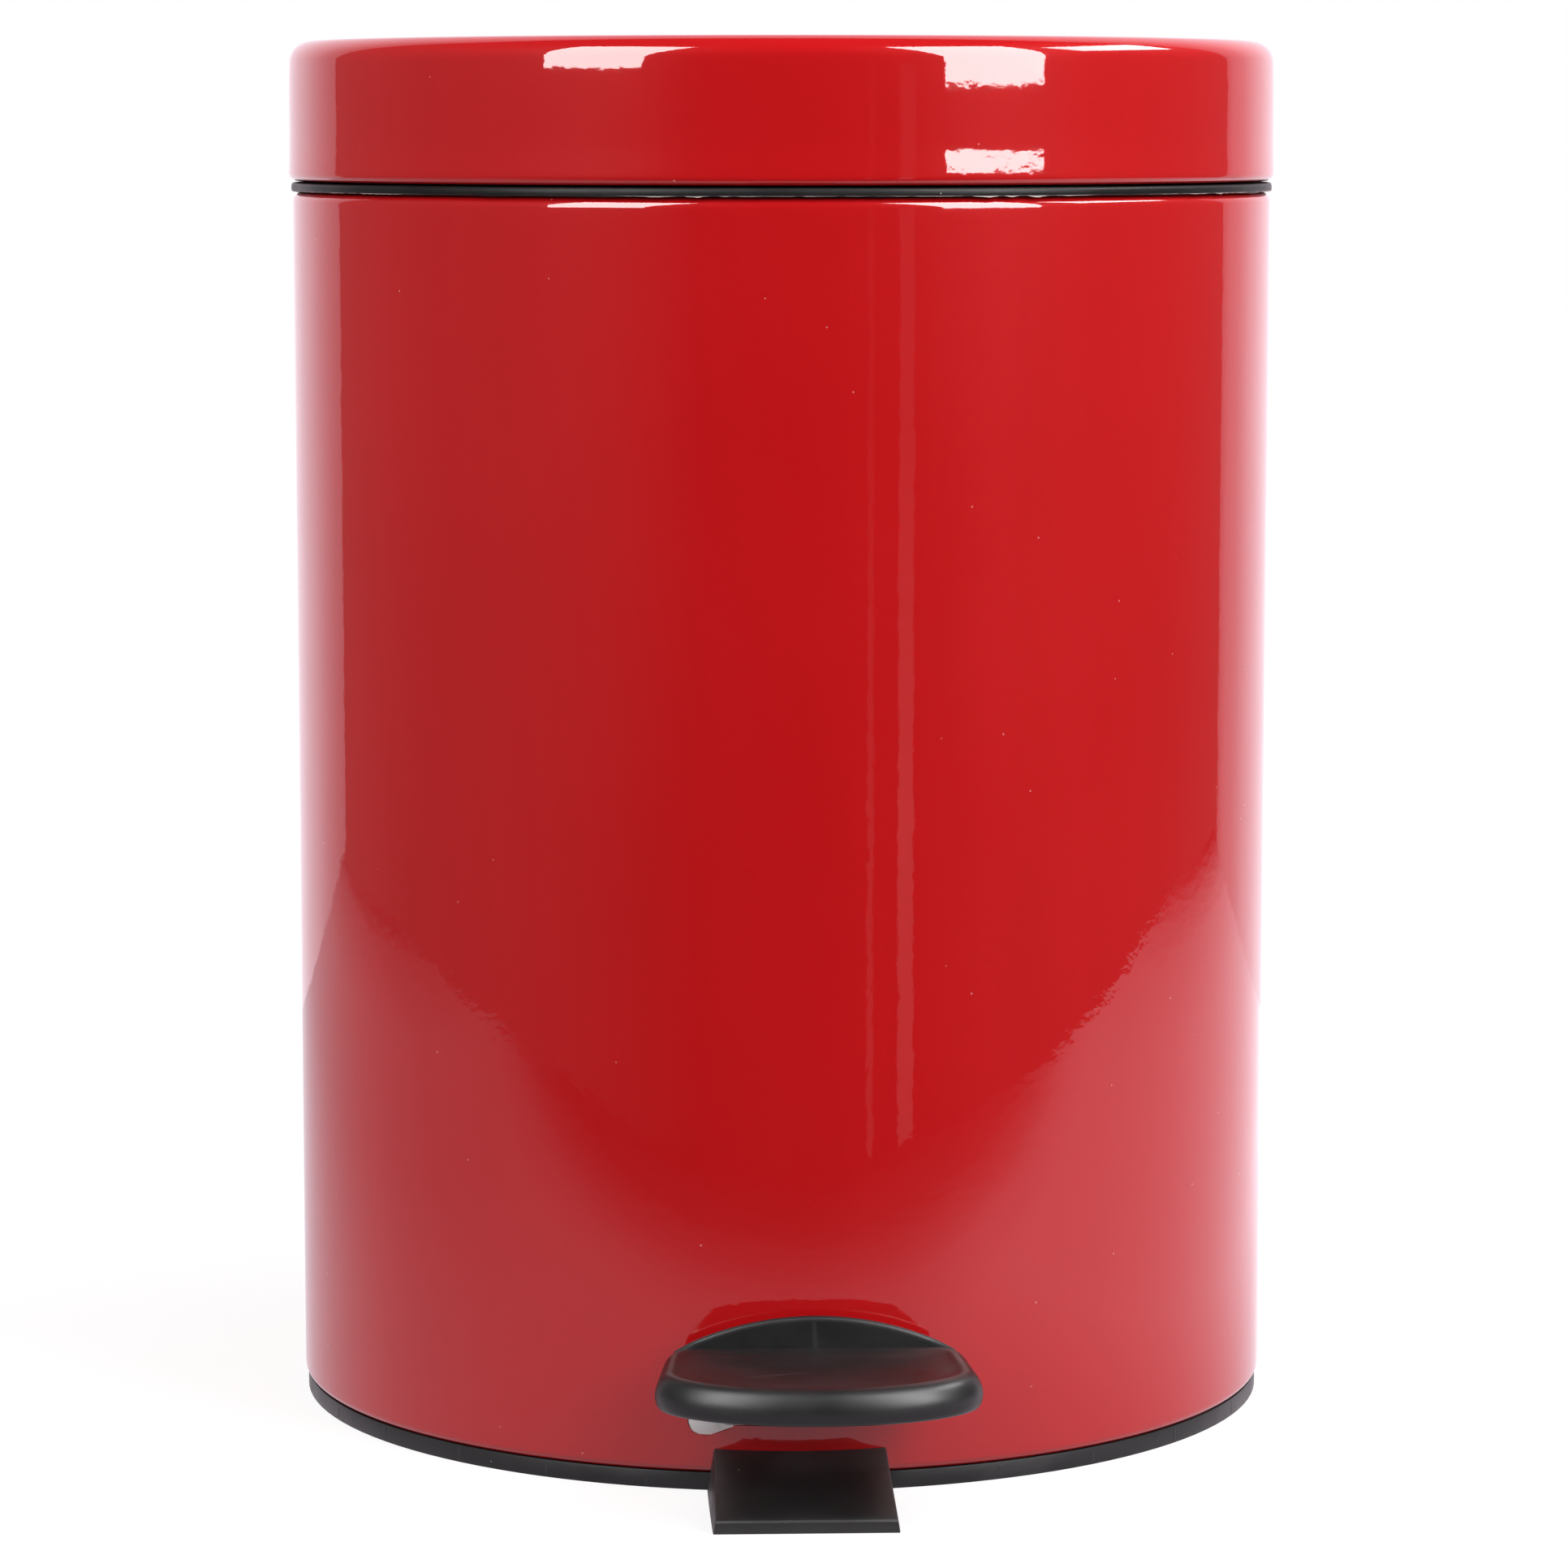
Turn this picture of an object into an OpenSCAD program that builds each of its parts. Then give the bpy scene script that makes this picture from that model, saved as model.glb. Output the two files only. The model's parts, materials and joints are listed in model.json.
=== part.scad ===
// Round pedal waste can: enamelled steel body and lid, moulded collar, base,
// pedal and anti-tip foot, a lift-out inner bucket, and the lever, push rod
// and rear hinge that raise the lid.
// Millimetres. +Z is up, the pedal points to -Y, the lid hinge is at +Y.
// The origin is on the can's axis, on the floor.

/* [Body] */
// Outer radius of the steel body
body_r = 101.7; // [101.4:0.1:101.8]
// Sheet thickness of the body
body_t = 0.6; // [0.5:0.1:0.7]
// Top of the rolled body rim above the floor
body_top = 252.2; // [252:0.1:252.2]

/* [Lid] */
// Outer radius of the lid skirt
lid_r = 102.5; // [102.4:0.1:103]
// Height of the lid's shoulder above the floor
lid_shoulder = 283; // [282.5:0.5:286]
// Rise of the dome from the shoulder to the middle
lid_dome = 1.2; // [0.6:0.2:3]
// Sheet thickness of the lid
lid_t = 0.7; // [0.5:0.1:0.8]
// Angle the lid opens to
lid_angle = 78; // [60:1:78]

/* [Pedal] */
// Half width of the pedal
pedal_hw = 31.4; // [29:0.2:32]
// Length of the pedal's rounded front, ahead of its widest line
pedal_front = 17.3; // [15:0.1:17.3]
// How far the pedal's middle stands to the right of the lever's
pedal_dx = 2.6; // [0:0.2:3]
// Height of the pedal's top surface
pedal_top = 30.3; // [30:0.1:31]
// Height of the half-moon wall's crest
moon_top = 36; // [34:0.5:38]

/* [Foot] */
// How far the anti-tip foot reaches in front of the axis
foot_reach = 133; // [125:1:140]
// Half width of the foot on the floor
foot_hw = 18.2; // [17:0.1:20]

/* [Bucket] */
// Height of the bucket's underside above the floor
bucket_z = 45; // [42:1:60]
// Outer radius of the bucket's foot
bucket_foot_r = 80; // [76:1:81]

/* [Mechanism] */
// Radius of the crank on the lid's hinge arm
crank_r = 14; // [13.9:0.1:14]
// Diameter of the lid's hinge pin
hinge_d = 4; // [3.6:0.2:4.4]
// Diameter of the push rod
rod_d = 3; // [2.8:0.1:3]
// Diameter of the lever's pivot pin
pivot_d = 5; // [4:0.5:5]

/* [Hidden] */
$fn = 96;

enamel = "#b4161c";
black = "#26262a";
plated = "#c6c8cc";
nylon = "#ece9e4";
grey = "#8a8d90";

base_top = 3.5;         // top of the base ring, where the body stands
lid_z = 254.45;         // lower edge of the lid skirt
hy = 110; hz = 257;     // lid hinge axis
crank_a = 39;           // crank's dip below the level at rest
cy = hy - crank_r * cos(crank_a);
cz = hz - crank_r * sin(crank_a);
py = -28; pz = 22;      // lever pivot
ry = 93.1;              // push rod's lower pin, at rest
rz = pz - crank_r * sin(crank_a);
run = 0.05;             // running clearance on a radius
slot_z0 = 13.2; slot_z1 = 27.6; slot_x = 16;

// ---- shared shapes

// a round bar along X
module xbar(r, x0, x1, y, z)
  translate([x0, y, z]) rotate([0, 90, 0]) cylinder(r = r, h = x1 - x0);
// a round bar along -Y, from y0 back to y1 (y1 > y0)
module ybar(r, y0, y1, x, z)
  translate([x, y1, z]) rotate([90, 0, 0]) cylinder(r = r, h = y1 - y0);
// a plate shape drawn in X and Z, thick along Y from y0 to y1
module xzplate(y0, y1)
  translate([0, y1, 0]) rotate([90, 0, 0]) linear_extrude(y1 - y0) children();
// a plate shape drawn in Y and Z, thick along X from x0 to x1
module yzplate(x0, x1)
  translate([x0, 0, 0]) rotate([90, 0, 90]) linear_extrude(x1 - x0) children();
// a rectangle with round corners
module rrect(x0, y0, x1, y1, r) {
  translate([x0 + r, y0]) square([x1 - x0 - 2 * r, y1 - y0]);
  translate([x0, y0 + r]) square([x1 - x0, y1 - y0 - 2 * r]);
  for (x = [x0 + r, x1 - r], y = [y0 + r, y1 - r]) translate([x, y]) circle(r);
}
// a hollow cylinder
module tube(r1, r0, z0, z1)
  difference() {
    translate([0, 0, z0]) cylinder(r = r1, h = z1 - z0, $fn = 128);
    translate([0, 0, z0 - 1]) cylinder(r = r0, h = z1 - z0 + 2, $fn = 128);
  }
// a pan-head screw along +Z: head below z0, shank above
module screw_up(x, y, z0, head_r, head_h, shank_r, len) {
  translate([x, y, z0 - head_h]) cylinder(r = head_r, h = head_h);
  translate([x, y, z0 - 0.1]) cylinder(r = shank_r, h = len + 0.1);
}
// the lever slot's opening, and the key notch beside it
module slot_opening() rrect(-slot_x, slot_z0, slot_x, slot_z1, 2.3);
module key_shape(g = 0)
  polygon([[-22 + g, 20 - g], [-22 + g, 13.4], [-21.3 + g, 11.8 + g], [-19.7, 11.1 + g],
           [-17.5, 11.1 + g], [-12 - g, 13.2 + g], [-12 - g, 20 - g]]);

// ---- body and what is fixed to it

module body_shell() color(enamel) difference() {
  rotate_extrude($fn = 128) {
    translate([body_r - body_t, base_top + 1.8]) square([body_t, body_top - base_top - 3.8]);
    translate([body_r - 2, body_top - 2]) difference() {
      circle(2);
      circle(2 - body_t);
      translate([-3, -3]) square([6, 3]);
    }
    translate([body_r - 4, body_top - 4.6]) square([body_t, 2.6]);
    translate([body_r - 1.8, base_top + 1.8]) difference() {
      circle(1.8);
      circle(1.8 - body_t);
      translate([-3, 0]) square([6, 3]);
    }
    translate([body_r - 3.6, base_top + 1.8]) square([body_t, 2.6]);
  }
  xzplate(-110, -90) slot_opening();
  xzplate(-110, -90) key_shape();
  translate([-15, 90, 240]) cube([30, 20, 20]);
  for (s = [-1, 1]) ybar(1.6, 90, 110, s * 8.5, 234.5);
  ybar(1.6, 90, 110, 0, 113);
}

module top_collar() color(black) difference() {
  rotate_extrude($fn = 128) {
    translate([92, 252.25]) square([10.05, 1.85]);
    translate([95.4, 240]) square([1.9, 12.5]);
    translate([92, 247]) square([1.5, 6]);
    translate([88.2, 247]) square([5, 1.7]);
  }
  translate([-15, 93.8, 235]) cube([30, 20, 30]);
  translate([-15, 80, 251]) cube([30, 30, 10]);
}

module slot_guide() color(nylon) difference() {
  union() {
    intersection() {
      tube(101.05, 99, 9.4, 31.4);
      xzplate(-110, -80) rrect(-25, 9.4, 25, 31.4, 3);
    }
    intersection() {
      tube(101.5, 99, 9.4, 31.4);
      xzplate(-110, -80) key_shape(0.15);
    }
  }
  xzplate(-112, -80) slot_opening();
}

module hinge_housing() color(black) difference() {
  union() {
    translate([0, 0, 228]) linear_extrude(22.5)
      polygon([[-22, 98], [-22, 108], [-20, 111.6], [-16.5, 113], [16.5, 113], [20, 111.6], [22, 108], [22, 98]]);
    for (x = [-21, 12.5]) {
      xbar(5, x, x + 8.5, hy, hz);
      translate([x, 105, 245]) cube([8.5, 10, hz - 245]);
    }
  }
  translate([0, 0, 220]) cylinder(r = body_r + 0.02, h = 26, $fn = 128);
  translate([0, 0, 245.9]) cylinder(r = 102.6, h = 6, $fn = 128);
  translate([-12.5, 90, 241]) cube([25, 40, 40]);
  translate([-23, 102, 225]) rotate([-38, 0, 0]) translate([0, 0, -12]) cube([46, 30, 12]);
  xbar(hinge_d / 2, -25, 25, hy, hz);
  for (s = [-1, 1]) ybar(1.5, 95, 111.5, s * 8.5, 234.5);
}

module hinge_pin() color(plated) xbar(hinge_d / 2, -20.8, 20.8, hy, hz);

module hinge_screws() color(plated) for (s = [-1, 1]) difference() {
  union() {
    ybar(2.8, 98.4, 100.3, s * 8.5, 234.5);
    ybar(1.45, 100, 111, s * 8.5, 234.5);
  }
  translate([s * 8.5 - 0.4, 97.7, 232]) cube([0.8, 1.5, 5]);
  translate([s * 8.5 - 2.5, 97.7, 234.1]) cube([5, 1.5, 0.8]);
}

module rod_guide() color(black) difference() {
  intersection() {
    union() {
      translate([-7, 85.5, 118]) cube([14, 20, 3]);
      translate([-7, 99.2, 106]) cube([14, 6, 15]);
      for (x = [-7, 5.4]) yzplate(x, x + 1.6)
        polygon([[100, 106.5], [100, 119], [88, 119]]);
    }
    translate([0, 0, 100]) cylinder(r = 101.05, h = 30, $fn = 128);
  }
  translate([-1.9, 87.6, 110]) cube([3.8, 7.8, 20]);
  ybar(1.6, 95, 110, 0, 113);
}

module guide_rivet() color(plated) {
  ybar(1.55, 98.4, 102.4, 0, 113);
  ybar(2.8, 98, 99.15, 0, 113);
  difference() {
    translate([0, 100.15, 113]) sphere(3.4);
    translate([-5, 95, 108]) cube([10, 6.75, 10]);
  }
}

module base_plate() color(black) difference() {
  union() {
    tube(101.1, 95, 0, base_top);
    translate([0, 0, 3]) cylinder(r = 97.9, h = 2.5, $fn = 128);
    tube(97.9, 96, 4, 8.4);
    for (a = [0:30:330]) rotate([0, 0, a + 15]) translate([20, -0.8, 1.2]) cube([76, 1.6, 2.2]);
    tube(21, 19, 1.2, 3.5);
  }
  translate([-15.2, -110, -1]) cube([30.4, 26.2, 3.9]);
  for (a = [45:90:315]) rotate([0, 0, a]) translate([80, 0, -1]) cylinder(r = 7.3, h = 4);
  translate([0, -90, -1]) cylinder(r = 1.5, h = 10);
  for (y = [-39, -17]) translate([0, y, -1]) cylinder(r = 1.5, h = 10);
}

module front_foot() color(black) difference() {
  union() {
    difference() {
      yzplate(-foot_hw, foot_hw)
        polygon([[-96, 0], [-foot_reach, 0], [-foot_reach, 2.1], [-foot_reach + 0.6, 2.8],
                 [-101, 8.4], [-96, 9.2]]);
      for (s = [0, 1]) mirror([s, 0, 0]) translate([foot_hw, -150, 0])
        rotate([0, -8.8, 0]) translate([0, 0, -5]) cube([10, 80, 30]);
      translate([0, 0, -1]) cylinder(r = body_r + 0.1, h = 20, $fn = 128);
    }
    translate([-15, -104, 0.3]) cube([30, 20, 2.4]);
  }
  translate([0, -90, -1]) cylinder(r = 1.7, h = 10);
  translate([0, -90, -1]) cylinder(r = 3.3, h = 2.7);
}

module foot_screw() color(plated) screw_up(0, -90, 1.7, 3, 1.2, 1.45, 3.6);

module rubber_feet() color("#1c1c1c") for (a = [45:90:315])
  rotate([0, 0, a]) translate([80, 0, 0]) {
    cylinder(r = 6.4, h = 0.5);
    translate([0, 0, 0.4]) cylinder(r = 7, h = 2.6);
  }

module pivot_bracket() color(plated) difference() {
  union() {
    translate([-14.8, -43, 5.5]) cube([29.6, 30, 1.6]);
    for (x = [-14.8, 13.2]) {
      translate([x, py - 8, 5.5]) cube([1.6, 16, pz - 5.5]);
      xbar(8, x, x + 1.6, py, pz);
    }
  }
  xbar(pivot_d / 2, -20, 20, py, pz);
  for (y = [-39, -17]) translate([0, y, 3]) cylinder(r = 1.7, h = 6);
}

module bracket_screws() color(plated) for (y = [-39, -17]) difference() {
  union() {
    translate([0, y, 7.1]) cylinder(r = 3, h = 1.6);
    translate([0, y, 3.2]) cylinder(r = 1.45, h = 4);
  }
  translate([-2.6, y - 0.4, 8]) cube([5.2, 0.8, 2]);
  translate([-0.4, y - 2.6, 8]) cube([0.8, 5.2, 2]);
}

module pivot_pin() color(plated) xbar(pivot_d / 2, -16.8, 16.8, py, pz);

module pivot_clips() color(grey) for (x = [-15.8, 15]) difference() {
  xbar(4.6, x, x + 0.8, py, pz);
  xbar(pivot_d / 2, x - 1, x + 2, py, pz);
  translate([x - 1, py - 1, pz - 6]) cube([3, 2, 6]);
}

module bucket() color("#3a3b3e") difference() {
  union() {
    rotate_extrude($fn = 128) {
      polygon([[0, bucket_z], [bucket_foot_r - 3, bucket_z], [bucket_foot_r, bucket_z + 3],
               [87, 248.9], [91.7, 248.9], [91.7, 250.9], [85.2, 250.9],
               [bucket_foot_r - 1.8, bucket_z + 4], [bucket_foot_r - 4, bucket_z + 2],
               [0, bucket_z + 2]]);
    }
    for (s = [0, 1]) mirror([s, 0, 0]) {
      xbar(4.2, 83, 85.7, 0, 252.6);
      translate([83, -4.2, 241]) cube([2.7, 8.4, 11.6]);
    }
  }
  for (s = [0, 1]) mirror([s, 0, 0]) xbar(rod_d / 2 + run, 80, 86.5, 0, 252.6);
}

// ---- lid

function lid_curve(off) = concat(
  [for (i = [0:7]) let(r = i * 14) [r, lid_shoulder + lid_dome * (1 - pow(r / 98, 2)) - off]],
  [for (a = [82.5:-7.5:0]) [lid_r - 4.5 + (4.5 - off) * cos(a), lid_shoulder - 4.5 + (4.5 - off) * sin(a)]],
  [[lid_r - off, lid_z + 1.6 + (off > 0 ? 1.4 : 0)]]);
function hem() = [for (a = [-15:-15:-300]) [lid_r - 1.6 + 1.6 * cos(a), lid_z + 1.6 + 1.6 * sin(a)]];
function rev(v) = [for (i = [len(v) - 1:-1:0]) v[i]];

module lid_shell() color(enamel) difference() {
  rotate_extrude($fn = 128)
    polygon(concat(lid_curve(0), hem(), rev(lid_curve(lid_t))));
  translate([-12.3, 90, 250]) cube([24.6, 20, 11.8]);
}

module lid_liner() color(black) difference() {
  union() {
    rotate_extrude($fn = 128)
      polygon([[93, 255.2], [99, 255.2], [99, 257.9], [101.4, 257.9], [101.4, 260.1],
               [94.6, 260.1], [94.6, 264.2], [93, 264.2]]);
    intersection() {
      translate([-16, 78, 261.2]) cube([32, 22, 3]);
      translate([0, 0, 255]) cylinder(r = 99.5, h = 20, $fn = 128);
    }
  }
  translate([-12.3, 70, 250]) cube([24.6, 40, 11.2]);
  for (s = [-1, 1]) translate([s * 6, 85, 255]) cylinder(r = 1.5, h = 8.9);
  for (a = [60:60:300]) rotate([0, 0, a + 90]) translate([96, 0, 254]) cylinder(r = 1.5, h = 3.6);
}

module lid_hinge_arm() color(black) difference() {
  union() {
    xbar(4.5, -11.5, 11.5, hy, hz);
    translate([-11, 79, 257.7]) cube([22, 29, 3.5]);
    xbar(3, 4, 7, cy, cz);
    translate([4, hy, hz]) rotate([-(180 - crank_a), 0, 0]) translate([0, 0, -3]) cube([3, crank_r, 6]);
  }
  xbar(hinge_d / 2 + run, -15, 15, hy, hz);
  xbar(rod_d / 2 + run, 0, 10, cy, cz);
  for (s = [-1, 1]) translate([s * 6, 85, 250]) cylinder(r = 1.7, h = 20);
}

module lid_screws() color(plated) for (s = [-1, 1]) difference() {
  screw_up(s * 6, 85, 257.7, 2.8, 1.7, 1.45, 6);
  translate([s * 6 - 2.4, 84.6, 255.5]) cube([4.8, 0.8, 1.3]);
  translate([s * 6 - 0.4, 82.6, 255.5]) cube([0.8, 4.8, 1.3]);
}

module lid_bumpers() color("#1c1c1c") for (a = [60:60:300])
  rotate([0, 0, a + 90]) translate([96, 0, 0]) {
    translate([0, 0, 254.45]) cylinder(r = 2.6, h = 0.75);
    translate([0, 0, 255]) cylinder(r = 1.45, h = 2.5);
  }

// ---- push rod

module push_rod() color(plated) {
  r = rod_d / 2;
  xbar(r, 0, 9.2, cy, cz);
  translate([0, cy, cz]) sphere(r + 0.04);
  translate([0, cy, 232]) cylinder(r = r, h = cz - 232);
  translate([0, cy, 232]) sphere(r + 0.04);
  translate([0, ry, 215]) rotate([-atan2(cy - ry, 17), 0, 0])
    cylinder(r = r, h = sqrt(pow(cy - ry, 2) + 289));
  translate([0, ry, 215]) sphere(r + 0.04);
  translate([0, ry, rz]) cylinder(r = r, h = 215 - rz);
  translate([0, ry, rz]) sphere(r + 0.04);
  xbar(r, 0, 14.2, ry, rz);
}

module rod_clips() color(grey) {
  difference() { xbar(3.1, 7.4, 8.4, cy, cz); xbar(rod_d / 2, 6, 10, cy, cz); }
  difference() { xbar(3.1, 12.5, 13.5, ry, rz); xbar(rod_d / 2, 11, 15, ry, rz); }
}

// ---- pedal

module pedal_lever() color(plated) difference() {
  union() {
    yzplate(-12, 12) polygon([[-131, 24.6], [-131, 26.5], [-96, 26.5], [-26, 28.6], [84, 19.2],
                              [84, 17.6], [-26, 27], [-96, 24.6]]);
    yzplate(10.4, 12) polygon([[-92, 26], [-26, 28.2], [84, 19], [98, 17.6], [98, 9.6], [84, 9.6],
                               [-18, 16], [-38, 16], [-92, 21.4]]);
    yzplate(-12, -10.4) polygon([[-92, 26], [-26, 28.2], [84, 19], [84, 12], [-18, 16], [-38, 16], [-92, 21.4]]);
  }
  xbar(4, -15, 15, py, pz);
  for (y = [89.5, 93.25]) xbar(2.05, 9, 14, y, pz - 8.63);
  translate([9, 89.5, pz - 8.63 - 2.05]) cube([5, 3.75, 4.1]);
  for (s = [-1, 1]) translate([s * 7, -119, 20]) cylinder(r = 1.7, h = 10);
}

module lever_bush() color(nylon) difference() {
  xbar(4, -12.7, 12.7, py, pz);
  xbar(pivot_d / 2 + run, -15, 15, py, pz);
}

// the shoe's outline: half an ellipse in front of its widest line, and a
// slightly narrowing square with round corners behind it, drawn i mm inside
function shoe(a, i) = let(c = cos(a), s = sin(a), w = pedal_hw - i, b = 21.7 - i, f = pedal_front - i)
  s <= 0 ? let(t = 1 / sqrt(pow(c / w, 2) + pow(s / f, 2))) [t * c, t * s - 126]
         : let(t = pow(pow(abs(c) / w, 12) + pow(s / b, 12), -1 / 12))
           [t * c * (1 - 0.067 * t * s / 21.7), t * s - 126];
module pad_shape(i = 0) translate([pedal_dx, 0]) polygon([for (a = [0:4:356]) shoe(a, i)]);

module pedal_pad() color(black) difference() {
  union() {
    hull() {
      translate([0, 0, 23]) linear_extrude(4) pad_shape(0);
      translate([0, 0, pedal_top - 0.3]) linear_extrude(0.3) pad_shape(3);
    }
    intersection() {
      xzplate(-107, -104.3) translate([pedal_dx, moon_top - 60]) circle(60);
      xzplate(-107, -104.3) translate([pedal_dx - 27, 26]) square([54, 24]);
      translate([0, 0, 20]) linear_extrude(30) pad_shape(0.05);
    }
  }
  difference() {
    translate([0, 0, 20]) linear_extrude(7.9) pad_shape(2.4);
    for (s = [-1, 1]) translate([s * 7, -119, 26.5]) cylinder(r = 4, h = 3);
  }
  difference() {
    translate([0, 0, pedal_top - 1.1]) linear_extrude(5) pad_shape(5);
    translate([-50, -107.5, 20]) cube([100, 10, 30]);
  }
  translate([-12.4, -109, 20]) cube([24.8, 10, 6.9]);
  for (s = [-1, 1]) translate([s * 7, -119, 20]) cylinder(r = 1.5, h = 8.6);
}

module pedal_screws() color(plated) for (s = [-1, 1]) difference() {
  screw_up(s * 7, -119, 24.6, 2.9, 1.4, 1.45, 3.8);
  translate([s * 7 - 2.4, -119.4, 22.5]) cube([4.8, 0.8, 1.4]);
  translate([s * 7 - 0.4, -121.4, 22.5]) cube([0.8, 4.8, 1.4]);
}

// ---- bucket's bail

module bucket_handle() color(plated) {
  translate([0, 0, 252.6]) rotate([0, 0, 180]) rotate_extrude(angle = 180, $fn = 128)
    translate([87.6, 0]) circle(rod_d / 2);
  for (s = [0, 1]) mirror([s, 0, 0]) {
    translate([87.6, 0, 252.6]) sphere(rod_d / 2);
    xbar(rod_d / 2, 81.4, 87.6, 0, 252.6);
  }
}

module handle_grip() color(black) translate([0, 0, 252.6]) rotate([0, 0, 245])
  rotate_extrude(angle = 50, $fn = 128) translate([87.6, 0]) difference() {
    circle(3.8);
    circle(rod_d / 2);
    translate([-5, -6]) square([10, 4.6]);
  }

body_shell();
top_collar();
slot_guide();
hinge_housing();
hinge_pin();
hinge_screws();
rod_guide();
guide_rivet();
base_plate();
front_foot();
foot_screw();
rubber_feet();
pivot_bracket();
bracket_screws();
pivot_pin();
pivot_clips();
bucket();
lid_shell();
lid_liner();
lid_hinge_arm();
lid_screws();
lid_bumpers();
push_rod();
rod_clips();
pedal_lever();
lever_bush();
pedal_pad();
pedal_screws();
bucket_handle();
handle_grip();
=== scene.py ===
import json
import math
import random

import bmesh
import bpy
import numpy as np
from mathutils import Matrix, Vector
from mathutils import noise as mnoise


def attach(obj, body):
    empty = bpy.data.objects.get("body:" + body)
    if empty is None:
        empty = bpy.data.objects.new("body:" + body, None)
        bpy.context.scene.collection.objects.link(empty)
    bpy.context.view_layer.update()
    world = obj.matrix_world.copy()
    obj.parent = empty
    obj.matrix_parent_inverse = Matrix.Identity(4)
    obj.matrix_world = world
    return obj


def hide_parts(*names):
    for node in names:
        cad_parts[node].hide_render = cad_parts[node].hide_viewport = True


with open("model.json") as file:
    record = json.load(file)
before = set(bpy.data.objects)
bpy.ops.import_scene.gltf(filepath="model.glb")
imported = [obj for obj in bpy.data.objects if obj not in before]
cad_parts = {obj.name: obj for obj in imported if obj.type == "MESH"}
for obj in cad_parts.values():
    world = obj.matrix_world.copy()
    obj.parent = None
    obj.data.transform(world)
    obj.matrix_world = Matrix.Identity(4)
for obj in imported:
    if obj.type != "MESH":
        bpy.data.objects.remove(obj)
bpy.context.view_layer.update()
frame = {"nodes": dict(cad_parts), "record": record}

NODES = frame["nodes"]
BODY_OF = {n: b for b, ns in frame["record"]["behaviour"]["bodies"].items() for n in ns}
SLOT_OF = {s["node"]: s["material_slot"] for s in frame["record"]["subparts"]}
MM = 0.001
scene = bpy.context.scene
rng = random.Random(7)


# ------------------------------------------------------------------ materials

def new_mat(name):
    m = bpy.data.materials.new(name)
    m.use_nodes = True
    nt = m.node_tree
    nt.nodes.clear()
    out = nt.nodes.new("ShaderNodeOutputMaterial")
    p = nt.nodes.new("ShaderNodeBsdfPrincipled")
    nt.links.new(p.outputs["BSDF"], out.inputs["Surface"])
    coord = nt.nodes.new("ShaderNodeTexCoord")
    return m, nt, p, coord


def noise(nt, coord, scale, detail=4.0, rough=0.5, stretch=None):
    src = coord.outputs["Object"]
    if stretch:
        mp = nt.nodes.new("ShaderNodeMapping")
        mp.inputs["Scale"].default_value = stretch
        nt.links.new(src, mp.inputs["Vector"])
        src = mp.outputs["Vector"]
    n = nt.nodes.new("ShaderNodeTexNoise")
    n.inputs["Scale"].default_value = scale
    n.inputs["Detail"].default_value = detail
    n.inputs["Roughness"].default_value = rough
    nt.links.new(src, n.inputs["Vector"])
    return n.outputs["Fac"]


def ramp(nt, fac, stops):
    r = nt.nodes.new("ShaderNodeValToRGB")
    el = r.color_ramp.elements
    while len(el) > len(stops):
        el.remove(el[-1])
    while len(el) < len(stops):
        el.new(0.5)
    for e, (pos, col) in zip(el, stops):
        e.position = pos
        e.color = (*col, 1) if len(col) == 3 else col
    nt.links.new(fac, r.inputs["Fac"])
    return r.outputs["Color"]


def grey(v):
    return (v, v, v)


def mixc(nt, fac, a, b):
    m = nt.nodes.new("ShaderNodeMix")
    m.data_type = "RGBA"
    for sock, val in ((m.inputs[0], fac), (m.inputs[6], a), (m.inputs[7], b)):
        if hasattr(val, "links") or hasattr(val, "is_linked"):
            nt.links.new(val, sock)
        elif isinstance(val, (tuple, list)):
            sock.default_value = (*val, 1) if len(val) == 3 else val
        else:
            sock.default_value = val
    return m.outputs[2]


def math_node(nt, op, a, b=None):
    m = nt.nodes.new("ShaderNodeMath")
    m.operation = op
    for i, val in enumerate((a, b)):
        if val is None:
            continue
        if hasattr(val, "is_linked"):
            nt.links.new(val, m.inputs[i])
        else:
            m.inputs[i].default_value = val
    return m.outputs[0]


def bump(nt, p, layers, to_coat=False):
    """layers: (height, strength, distance in metres); chained bump nodes."""
    last = None
    for h, strength, dist in layers:
        b = nt.nodes.new("ShaderNodeBump")
        b.inputs["Strength"].default_value = strength
        b.inputs["Distance"].default_value = dist
        nt.links.new(h, b.inputs["Height"])
        if last is not None:
            nt.links.new(last, b.inputs["Normal"])
        last = b.outputs["Normal"]
    nt.links.new(last, p.inputs["Normal"])
    if to_coat:
        nt.links.new(last, p.inputs["Coat Normal"])


def specks(nt, coord, scale, size, keep=0.5):
    """1 on tiny isolated specks, 0 elsewhere."""
    v = nt.nodes.new("ShaderNodeTexVoronoi")
    v.feature = "F1"
    v.inputs["Scale"].default_value = scale
    v.inputs["Randomness"].default_value = 1.0
    nt.links.new(coord.outputs["Object"], v.inputs["Vector"])
    near = math_node(nt, "LESS_THAN", v.outputs["Distance"], size)
    sep = nt.nodes.new("ShaderNodeSeparateColor")
    nt.links.new(v.outputs["Color"], sep.inputs[0])
    some = math_node(nt, "GREATER_THAN", sep.outputs[0], keep)
    return math_node(nt, "MULTIPLY", near, some)


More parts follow.
